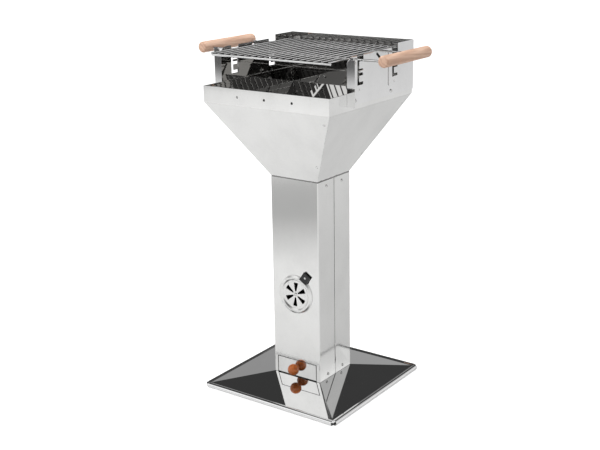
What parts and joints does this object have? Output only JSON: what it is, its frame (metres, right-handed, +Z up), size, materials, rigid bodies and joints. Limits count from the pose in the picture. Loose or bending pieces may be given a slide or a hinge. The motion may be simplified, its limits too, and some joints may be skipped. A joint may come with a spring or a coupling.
{
  "type": "pedestal charcoal grill",
  "caption": "Charcoal grill of polished sheet steel: square column on a pyramid base, flared funnel, wind shield, lift-off wire grate with wooden handles, rotary air vent and ash drawer.",
  "frame": {"origin": "on the floor at the centre of the base", "axes": "+Z up the column, -Y out of the front with the air vent and ash drawer, +X to the right seen from the front"},
  "size_m": [0.543, 0.402, 0.865],
  "materials": {
    "steel_sheet": "polished",
    "mirror_steel": "mirror-polished",
    "fasteners": "satin",
    "wire": "bright",
    "black_grip": "semi-matt",
    "handle_wood": "fine-sanded",
    "knob_wood": "glossy lacquer"
  },
  "bodies": {
    "stand": {"column_front_shell": "steel_sheet", "column_rear_shell": "steel_sheet", "drawer_runner_left": "steel_sheet", "drawer_runner_right": "steel_sheet", "funnel_panel_front": "steel_sheet", "funnel_panel_right": "steel_sheet", "funnel_panel_back": "steel_sheet", "funnel_panel_left": "steel_sheet", "wind_shield_left": "steel_sheet", "wind_shield_right": "steel_sheet", "wind_shield_back": "steel_sheet", "height_bracket_front_left": "steel_sheet", "height_bracket_front_right": "steel_sheet", "height_bracket_rear_left": "steel_sheet", "height_bracket_rear_right": "steel_sheet", "column_foot_screws": "fasteners", "column_top_screws": "fasteners", "vent_pivot_rivet": "fasteners", "funnel_rivets": "fasteners", "wind_shield_screws": "fasteners", "wind_shield_nuts": "fasteners", "wind_shield_corner_rivets": "fasteners", "bracket_rivets": "fasteners", "base_plate": "mirror_steel"},
    "ash_drawer": {"drawer_tray": "steel_sheet", "drawer_front": "steel_sheet", "drawer_knob": "knob_wood", "drawer_knob_screw": "fasteners"},
    "air_vent": {"vent_disc": "steel_sheet", "vent_grip": "black_grip", "vent_grip_rivet": "fasteners"},
    "cooking_grate": {"grate_grid": "wire", "grate_arm_front": "wire", "grate_arm_rear": "wire", "handle_left": "handle_wood", "handle_right": "handle_wood"},
    "charcoal_grate": {"charcoal_grate": "wire"}
  },
  "joints": [
    {"name": "ash_drawer_slide", "type": "slide", "parent": "stand", "child": "ash_drawer", "axis": [0, -1, 0], "range_m": [0, 0.11]},
    {"name": "air_vent_turn", "type": "hinge", "parent": "stand", "child": "air_vent", "pos_m": [0, -0.07, 0.253], "axis": [0, -1, 0], "range_deg": [0, 30]},
    {"name": "cooking_grate_lift", "type": "slide", "parent": "stand", "child": "cooking_grate", "axis": [0, 0, 1], "range_m": [0, 0.06]},
    {"name": "charcoal_grate_lift", "type": "slide", "parent": "stand", "child": "charcoal_grate", "axis": [0, 0, 1], "range_m": [0, 0.15]}
  ]
}
